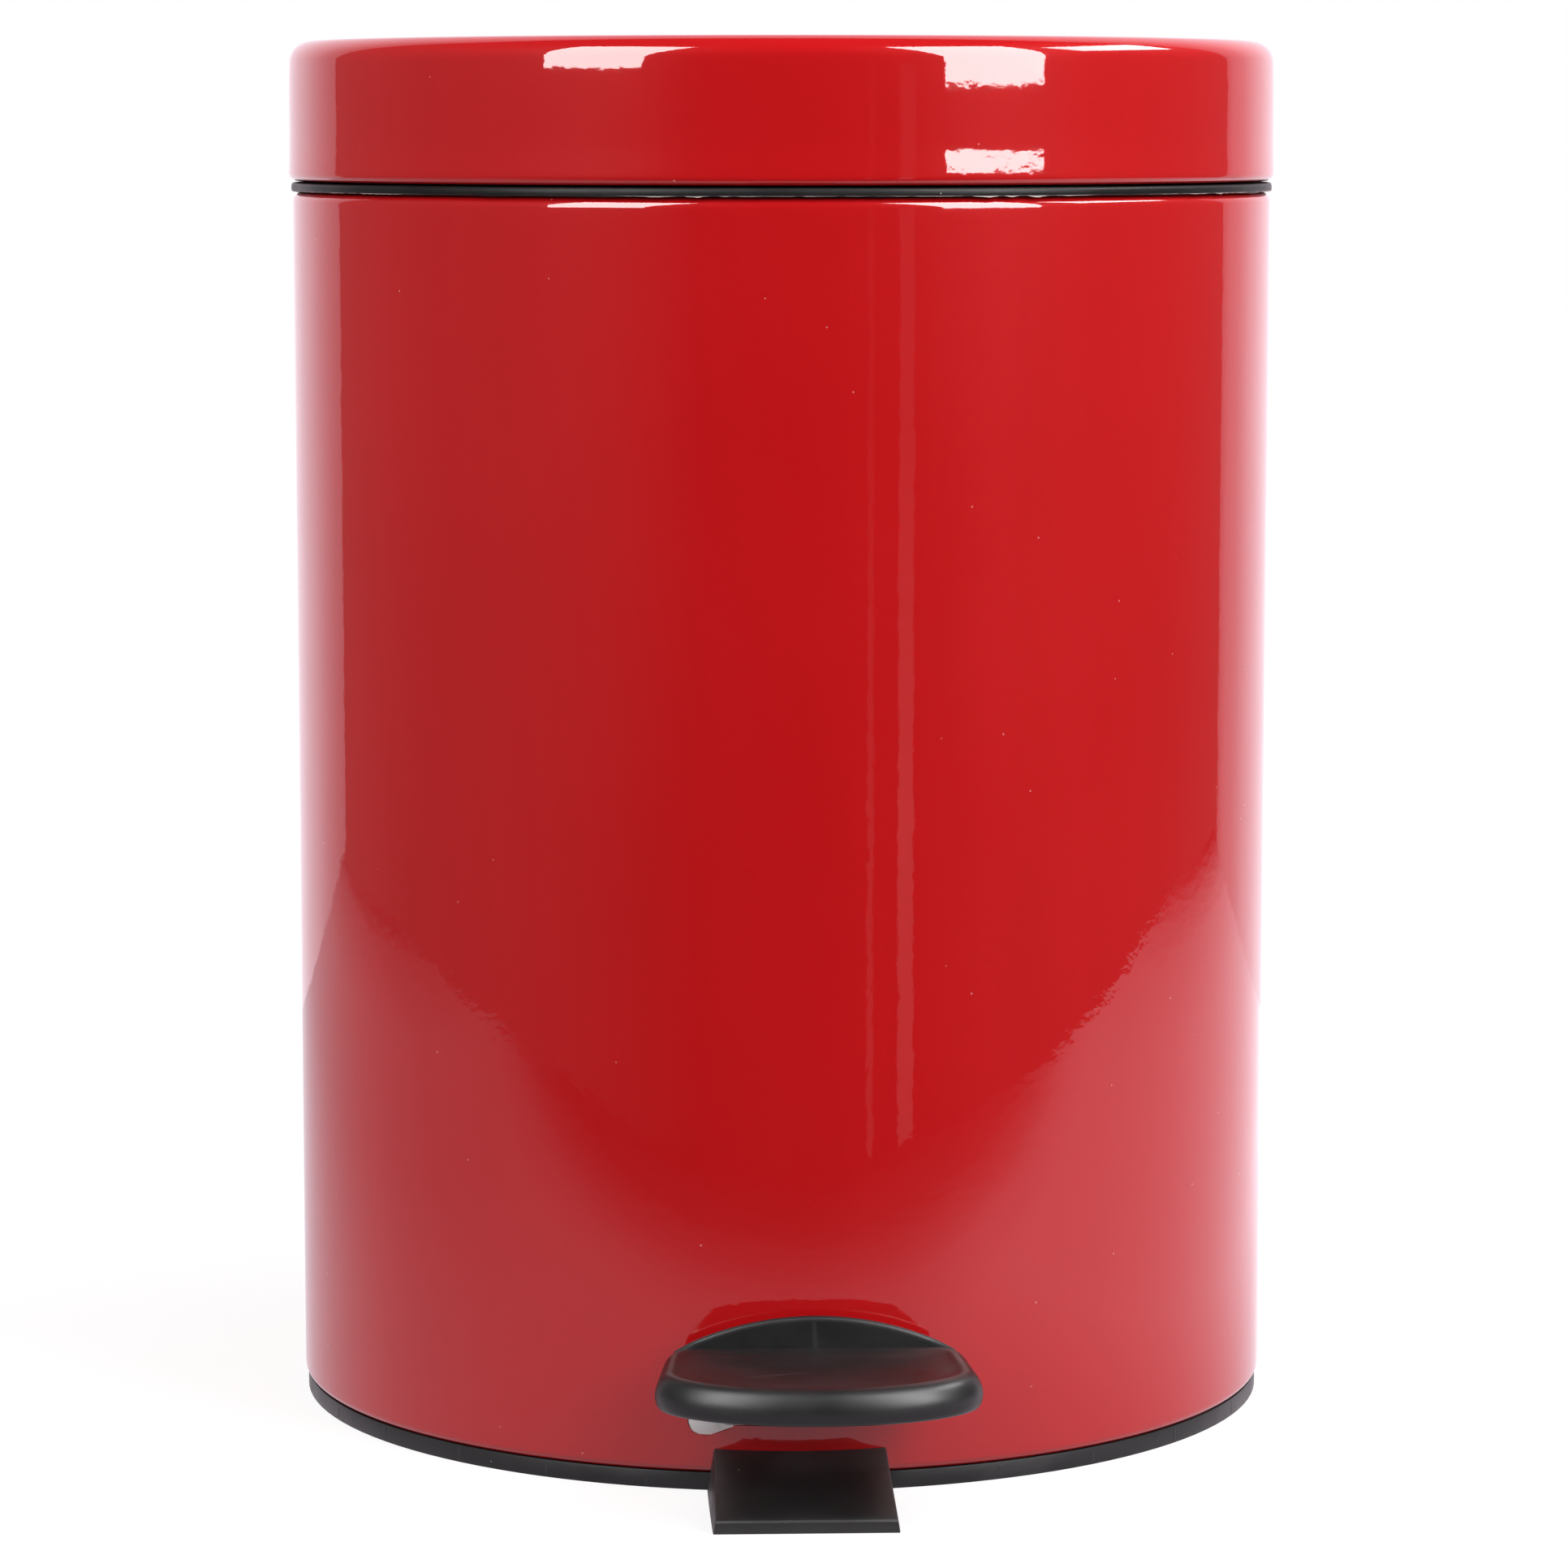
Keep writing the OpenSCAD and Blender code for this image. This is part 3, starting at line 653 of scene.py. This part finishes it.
def make_foot():
    hw_rear_top, hw = 16.9, 18.2
    secs = []
    # along y: front to back; each: (y, half width at floor, half width at top, z top)
    for y, b, t, z in ((-133.0, 17.75, 17.45, 2.15), (-132.75, 17.8, 17.42, 2.55), (-132.2, 17.85, 17.40, 2.82), (-131.4, 17.9, 17.36, 2.98),
                       (-125.0, 18.0, 17.3, 4.07), (-117.0, 18.1, 17.13, 5.48), (-109.0, 18.17, 17.0, 6.95), (-101.0, 18.2, 16.9, 8.4), (-96.0, 18.2, 16.85, 9.3)):
        r = 0.35
        secs.append([(-b, y, 0.0), (-b + (b - t) * 0.5, y, z * 0.5), (-t - 0.02, y, z - r), (-t + r * 0.3, y, z - r * 0.3), (-t + r, y, z),
                     (-t * 0.5, y, z), (0, y, z), (t * 0.5, y, z),
                     (t - r, y, z), (t - r * 0.3, y, z - r * 0.3), (t + 0.02, y, z - r), (b - (b - t) * 0.5, y, z * 0.5), (b, y, 0.0)])
    verts, faces = [], []
    ns = len(secs[0])
    for s in secs:
        verts += [tuple(c * MM for c in p) for p in s]
    for k in range(len(secs) - 1):
        for i in range(ns):
            j = (i + 1) % ns
            faces.append([k * ns + i, k * ns + j, (k + 1) * ns + j, (k + 1) * ns + i])
    faces.append(list(range(ns)))
    faces.append(list(range((len(secs) - 1) * ns, len(secs) * ns))[::-1])
    me = bpy.data.meshes.new("front_foot_v")
    me.from_pydata(verts, [], faces)
    foot = link(me, "front_foot_v")
    bm = bmesh.new()
    bm.from_mesh(me)
    bmesh.ops.recalc_face_normals(bm, faces=bm.faces)
    bm.to_mesh(me)
    bm.free()
    ring = [(101.8 * math.cos(2 * math.pi * k / 360), 101.8 * math.sin(2 * math.pi * k / 360)) for k in range(360)]
    boolean(foot, [prism("c6", ring, "z", -5, 30)])
    tongue = prism("c7", [(-15, -104), (15, -104), (15, -84), (-15, -84)], "z", 0.3, 2.7)
    boolean(foot, [tongue], "UNION")
    hole = [(1.7 * math.cos(2 * math.pi * k / 32), -90 + 1.7 * math.sin(2 * math.pi * k / 32)) for k in range(32)]
    sink = [(3.3 * math.cos(2 * math.pi * k / 40), -90 + 3.3 * math.sin(2 * math.pi * k / 40)) for k in range(40)]
    boolean(foot, [prism("c8", hole, "z", -2, 5), prism("c9", sink, "z", -2, 1.7)])
    finish_mesh(foot, 30)
    return piece(foot, "can", "black_foot", "front_foot")


def make_base():
    """The CAD base with a fine outer ring: a soft corner, and the small moulding marks round it."""
    o = refine("base_plate", bevel=0.3, segs=2)
    marks = []
    k = 0
    az = -172.0
    while az < 180:
        if not -11.5 < az < 11.0:
            marks.append(az)
        az += 11.9 + 3.6 * rng.random()
    verts, faces = [], []
    for az in marks:
        a = math.radians(az - 90)
        c, s = math.cos(a), math.sin(a)
        w = 0.22 + 0.15 * rng.random()
        z1 = 2.5 + 0.7 * rng.random()
        b = len(verts)
        for r in (100.7, 101.1):
            for tt in (-w, w):
                for z in (0.5, z1):
                    verts.append(((r * c - tt * s) * MM, (r * s + tt * c) * MM, z * MM))
        faces += [[b + i for i in q] for q in ((0, 1, 3, 2), (4, 6, 7, 5), (0, 2, 6, 4), (1, 5, 7, 3), (0, 4, 5, 1), (2, 3, 7, 6))]
    me = bpy.data.meshes.new("base_marks")
    me.from_pydata(verts, [], faces)
    m = finish_mesh(link(me, "base_marks"), 30)
    for v in m.data.vertices:                        # stand the ridges just proud of the ring's face
        r = math.hypot(v.co.x, v.co.y)
        if r > 0.1009:
            v.co.x *= 0.10112 / r
            v.co.y *= 0.10112 / r
    return piece(m, "can", "black_plastic")


make_lid()
make_body()
make_collar()
make_flash_painted_highlight()
make_pedal()
make_foot()
make_base()
for node, bev in (("slot_guide", 0.2), ("hinge_housing", 0.5), ("hinge_pin", 0.3), ("hinge_screws", 0.15), ("rod_guide", 0.25),
                  ("guide_rivet", 0.0), ("foot_screw", 0.15), ("rubber_feet", 0.2), ("pivot_bracket", 0.2), ("bracket_screws", 0.15),
                  ("pivot_pin", 0.3), ("pivot_clips", 0.1), ("bucket", 0.35), ("lid_liner", 0.25), ("lid_hinge_arm", 0.4),
                  ("lid_screws", 0.15), ("lid_bumpers", 0.2), ("push_rod", 0.2), ("rod_clips", 0.1), ("pedal_lever", 0.25),
                  ("lever_bush", 0.15), ("pedal_screws", 0.15), ("bucket_handle", 0.2), ("handle_grip", 0.4)):
    refine(node, bev)


# ----------------------------------------------------------- floor and lights

def emission(name, col, strength):
    m = bpy.data.materials.new(name)
    m.use_nodes = True
    nt = m.node_tree
    nt.nodes.clear()
    out = nt.nodes.new("ShaderNodeOutputMaterial")
    e = nt.nodes.new("ShaderNodeEmission")
    e.inputs["Color"].default_value = (*col, 1)
    e.inputs["Strength"].default_value = strength
    nt.links.new(e.outputs[0], out.inputs["Surface"])
    return m


def quad(name, pts, mat):
    me = bpy.data.meshes.new(name)
    me.from_pydata(pts, [], [[0, 1, 2, 3]])
    me.materials.append(mat)
    o = link(me, name)
    return o


def only_glossy(o):
    o.visible_camera = False
    o.visible_diffuse = False
    o.visible_transmission = False
    o.visible_shadow = False
    o.visible_volume_scatter = False


YAW = math.radians(2.1)


def cam_frame(x, y, z):
    """A point given in the camera's level frame (camera at -Y) put in the object's frame."""
    c, s = math.cos(YAW), math.sin(YAW)
    return (x * c + y * s, -x * s + y * c, z)


def glow(name, axis_ramps, strength, col=(1, 1, 1)):
    """Emission whose strength is the product of ramps along X, Y or Z: {axis: [(metres, value), ...]}."""
    m = emission(name, col, strength)
    nt = m.node_tree
    e = [n for n in nt.nodes if n.type == "EMISSION"][0]
    coord = nt.nodes.new("ShaderNodeTexCoord")
    sep = nt.nodes.new("ShaderNodeSeparateXYZ")
    nt.links.new(coord.outputs["Object"], sep.inputs[0])
    total = None
    for axis, stops in axis_ramps.items():
        lo, hi = stops[0][0], stops[-1][0]
        mr = nt.nodes.new("ShaderNodeMapRange")
        mr.inputs["From Min"].default_value, mr.inputs["From Max"].default_value = lo, hi
        nt.links.new(sep.outputs["XYZ".index(axis)], mr.inputs["Value"])
        r = nt.nodes.new("ShaderNodeValToRGB")
        el = r.color_ramp.elements
        while len(el) < len(stops):
            el.new(0.5)
        for q, (pos, val) in zip(el, stops):
            q.position = (pos - lo) / (hi - lo)
            q.color = (val, val, val, 1)
        nt.links.new(mr.outputs[0], r.inputs["Fac"])
        total = r.outputs["Color"] if total is None else math_node(nt, "MULTIPLY", total, r.outputs["Color"])
    nt.links.new(math_node(nt, "MULTIPLY", total, strength), e.inputs["Strength"])
    return m


def ngon(name, pts, mat):
    me = bpy.data.meshes.new(name)
    me.from_pydata(pts, [], [list(range(len(pts)))])
    me.materials.append(mat)
    o = link(me, name)
    return o


# the floor that is seen: white, with only a faint shadow where things stand on it
floor_mat = bpy.data.materials.new("floor_white")
floor_mat.use_nodes = True
fn = floor_mat.node_tree
fn.nodes.clear()
fo = fn.nodes.new("ShaderNodeOutputMaterial")
fd = fn.nodes.new("ShaderNodeBsdfDiffuse")
fd.inputs["Color"].default_value = (0.24, 0.24, 0.24, 1)
fe = fn.nodes.new("ShaderNodeEmission")
fa = fn.nodes.new("ShaderNodeAddShader")
fc = fn.nodes.new("ShaderNodeTexCoord")
fl = fn.nodes.new("ShaderNodeVectorMath")
fl.operation = "LENGTH"
fn.links.new(fc.outputs["Object"], fl.inputs[0])
fm = fn.nodes.new("ShaderNodeMapRange")
for k, v in (("From Min", 0.12), ("From Max", 0.75), ("To Min", 0.84), ("To Max", 1.0)):
    fm.inputs[k].default_value = v
fn.links.new(fl.outputs["Value"], fm.inputs["Value"])
fn.links.new(fm.outputs[0], fe.inputs["Strength"])
fn.links.new(fd.outputs[0], fa.inputs[0])
fn.links.new(fe.outputs[0], fa.inputs[1])
fn.links.new(fa.outputs[0], fo.inputs["Surface"])
S = 6.0
floor = quad("floor", [(-S, -S, -0.00005), (S, -S, -0.00005), (S, S, -0.00005), (-S, S, -0.00005)], floor_mat)
floor.visible_glossy = False
floor.visible_diffuse = False
floor.visible_transmission = False

# the same floor as the object's diffuse shading meets it
bounce_mat = bpy.data.materials.new("floor_bounce")
bounce_mat.use_nodes = True
bp_ = bounce_mat.node_tree.nodes["Principled BSDF"]
bp_.inputs["Base Color"].default_value = (0.42, 0.40, 0.40, 1)
bp_.inputs["Roughness"].default_value = 0.9
bp_.inputs["Specular IOR Level"].default_value = 0.0
bounce = quad("floor_bounce", [(-S, -S, -0.0001), (S, -S, -0.0001), (S, S, -0.0001), (-S, S, -0.0001)], bounce_mat)
bounce.visible_camera = False
bounce.visible_glossy = False
bounce.visible_shadow = False

# what the gloss sees: a paper sweep, flat under the object and upright behind it
TINT = (1.0, 0.90, 0.985)
table_mat = glow("table_glow", {"X": [(-0.80, 0.0), (-0.71, 0.45), (-0.56, 0.70), (-0.36, 0.72), (-0.20, 0.90), (0.0, 0.95), (0.10, 1.15), (0.20, 1.52),
                                      (0.54, 1.45), (0.70, 1.2), (0.79, 0.7), (0.88, 0.0)],
                                "Y": [(-0.42, 0.04), (-0.345, 0.17), (-0.30, 0.45), (-0.265, 0.80), (-0.215, 1.0), (0.5, 1.0)]}, 1.0, TINT)
t = ngon("reflect_table", [cam_frame(x, y, -0.0002) for x, y in (
    (-0.78, 0.47), (-0.78, 0.10), (-0.71, -0.09), (-0.57, -0.26), (-0.40, -0.38), (-0.20, -0.42), (0.20, -0.42), (0.40, -0.34), (0.58, -0.22),
    (0.76, -0.03), (0.85, 0.15), (0.88, 0.47))], table_mat)
only_glossy(t)
sweep_mat = glow("sweep_glow", {"X": [(-0.86, 0.50), (-0.80, 0.80), (-0.70, 0.87), (-0.59, 1.0), (-0.45, 1.2), (-0.30, 1.22), (-0.15, 1.1), (0.05, 1.1),
                                      (0.20, 1.2), (0.35, 1.35), (0.50, 1.25), (0.64, 0.95), (0.76, 0.90), (0.86, 0.60)]}, 1.0, TINT)
t = quad("reflect_sweep", [cam_frame(-0.825, 0.47, -0.0002), cam_frame(0.830, 0.47, -0.0002),
                           cam_frame(0.850, 0.50, 1.6), cam_frame(-0.880, 0.50, 1.6)], sweep_mat)
only_glossy(t)


def at(az, el, dist, cz=0.27):
    a, e = math.radians(az), math.radians(el)
    x, y, z = math.sin(a) * math.cos(e) * dist, -math.cos(a) * math.cos(e) * dist, math.sin(e) * dist
    return Vector(cam_frame(x, y, z + cz))


def softbox(name, az, el, dist, w, h, L, gloss, tint=(1, 1, 1)):
    """An area light of radiance L for the diffuse shading, and a panel of radiance gloss that only the gloss sees."""
    d = bpy.data.lights.new(name, "AREA")
    d.shape = "RECTANGLE"
    d.size, d.size_y = w, h
    d.energy = L * math.pi * w * h
    d.color = tint
    o = bpy.data.objects.new(name, d)
    scene.collection.objects.link(o)
    o.location = at(az, el, dist)
    o.rotation_mode = "QUATERNION"
    o.rotation_quaternion = (o.location - Vector((0, 0, 0.25))).to_track_quat("Z", "Y")
    o.visible_glossy = False
    if gloss:
        M = o.rotation_quaternion.to_matrix()
        X, Y = M @ Vector((w / 2, 0, 0)), M @ Vector((0, h / 2, 0))
        c = o.location
        q = quad(name + "_panel", [tuple(c - X - Y), tuple(c + X - Y), tuple(c + X + Y), tuple(c - X + Y)],
                 emission(name + "_glow", (1, 0.99, 0.99), gloss))
        only_glossy(q)
    return o


softbox("soft_right", 48.0, 26.7, 1.3, 0.60, 1.22, 5.7, 19.0)
softbox("soft_left", -41.9, 27.6, 1.3, 0.57, 1.17, 3.4, 17.0)
softbox("soft_side", 94.3, 38, 1.4, 0.75, 0.36, 4.2, 17.0)
softbox("top", 0, 84, 1.6, 1.6, 1.2, 1.0, 0.0)
softbox("fill_left", -88, 20, 1.3, 0.9, 0.9, 1.6, 0.0)
softbox("fill_right", 97, 20, 1.3, 0.9, 0.9, 0.9, 0.0)


def strip(name, az, el0, el1, dist, w, stops):
    mat = glow(name + "_glow", {"Z": stops}, 1.0)
    lo, hi = at(az, el0, dist, 0.15), at(az, el1, dist, 0.15)
    side = Vector((-(lo.y), lo.x, 0)).normalized() * (w / 2)
    o = quad(name, [tuple(lo - side), tuple(lo + side), tuple(hi + side), tuple(hi - side)], mat)
    only_glossy(o)


strip("strip_a", 19.5, -22, 10, 1.3, 0.028, [(-0.34, 0.25), (-0.12, 0.35), (-0.02, 0.34), (0.15, 0.15), (0.37, 0.08)])
strip("strip_b", 27.5, -22, 10, 1.3, 0.075, [(-0.34, 0.40), (-0.12, 0.52), (-0.02, 0.62), (0.15, 0.30), (0.37, 0.15)])

world = bpy.data.worlds.new("studio")
scene.world = world
world.use_nodes = True
nt = world.node_tree
nt.nodes.clear()
out = nt.nodes.new("ShaderNodeOutputWorld")
lp = nt.nodes.new("ShaderNodeLightPath")
bg_cam, bg_gloss, bg_diff = [nt.nodes.new("ShaderNodeBackground") for _ in range(3)]
for b, col, s in ((bg_cam, (1, 1, 1), 1.0), (bg_gloss, (1.0, 0.97, 0.97), 0.05), (bg_diff, (1, 0.99, 0.98), 0.13)):
    b.inputs["Color"].default_value = (*col, 1)
    b.inputs["Strength"].default_value = s
# the room the gloss sees is darkest in front and greyer to the sides
wc = nt.nodes.new("ShaderNodeTexCoord")
ws = nt.nodes.new("ShaderNodeSeparateXYZ")
nt.links.new(wc.outputs["Generated"], ws.inputs[0])
grey_sides = None
for frm, to, val in ((-0.35, -0.95, 0.21), (0.45, 0.92, 0.11)):
    wr = nt.nodes.new("ShaderNodeMapRange")
    for k, v in (("From Min", frm), ("From Max", to), ("To Min", 0.0), ("To Max", val)):
        wr.inputs[k].default_value = v
    nt.links.new(ws.outputs[0], wr.inputs["Value"])
    grey_sides = wr.outputs[0] if grey_sides is None else math_node(nt, "ADD", grey_sides, wr.outputs[0])
nt.links.new(math_node(nt, "ADD", grey_sides, 0.05), bg_gloss.inputs["Strength"])
m1, m2 = nt.nodes.new("ShaderNodeMixShader"), nt.nodes.new("ShaderNodeMixShader")
nt.links.new(lp.outputs["Is Glossy Ray"], m1.inputs[0])
nt.links.new(bg_diff.outputs[0], m1.inputs[1])
nt.links.new(bg_gloss.outputs[0], m1.inputs[2])
nt.links.new(lp.outputs["Is Camera Ray"], m2.inputs[0])
nt.links.new(m1.outputs[0], m2.inputs[1])
nt.links.new(bg_cam.outputs[0], m2.inputs[2])
nt.links.new(m2.outputs[0], out.inputs["Surface"])

cam_data = bpy.data.cameras.new("camera")
cam_data.lens = 6611.0 / 1932.0 * 36.0
cam_data.sensor_width = 36.0
cam_data.clip_start, cam_data.clip_end = 0.05, 50
cam = bpy.data.objects.new("camera", cam_data)
scene.collection.objects.link(cam)
cam.location = cam_frame(0.00052, -1.1283, 0.2668)
pitch = math.radians(7.05)
look = Vector(cam_frame(0, math.cos(pitch), 0)) + Vector((0, 0, -math.sin(pitch)))
cam.rotation_mode = "QUATERNION"
cam.rotation_quaternion = look.to_track_quat("-Z", "Y")
scene.camera = cam
scene.view_settings.view_transform = "Standard"
scene.view_settings.look = "None"
scene.view_settings.exposure = 0.0
scene.view_settings.gamma = 1.0
